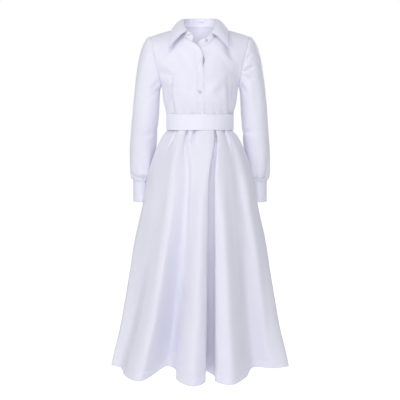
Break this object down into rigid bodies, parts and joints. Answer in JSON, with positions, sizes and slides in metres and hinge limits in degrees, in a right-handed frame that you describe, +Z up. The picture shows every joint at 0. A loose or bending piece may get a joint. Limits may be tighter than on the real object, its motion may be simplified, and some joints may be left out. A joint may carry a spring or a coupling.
{
  "type": "long-sleeved flared shirt dress with a sash belt, in its hollow worn form",
  "caption": "Satin shirt dress with a pointed collar, buttoned band, full sleeves in deep cuffs, flat sash belt and a long flared skirt with one deep inverted pleat.",
  "frame": {"origin": "midway between the wearer's shoulders, level with the points where the shoulder seams meet the neck", "axes": "+Z up, the front faces -Y, +X towards the wearer's left"},
  "size_m": [0.6881, 0.3732, 1.3296],
  "materials": {
    "white_satin": "smooth satin with a soft sheen",
    "belt_satin": "smooth stiffened satin",
    "pearl_button": "pearly and polished",
    "steel_hook": "plain brushed metal"
  },
  "bodies": {
    "root": {"front_right": "white_satin", "front_left": "white_satin", "button_band": "white_satin", "bodice_back": "white_satin", "collar_stand": "white_satin", "collar_leaf": "white_satin", "sleeve_right": "white_satin", "sleeve_left": "white_satin", "cuff_right": "white_satin", "cuff_left": "white_satin", "skirt_front": "white_satin", "skirt_back": "white_satin", "hanger_loop": "white_satin", "belt": "belt_satin", "belt_hook_upper": "steel_hook", "belt_hook_lower": "steel_hook", "button_stand": "pearl_button", "button_front": "pearl_button", "button_cuff_right": "pearl_button", "button_cuff_left": "pearl_button"}
  },
  "joints": []
}
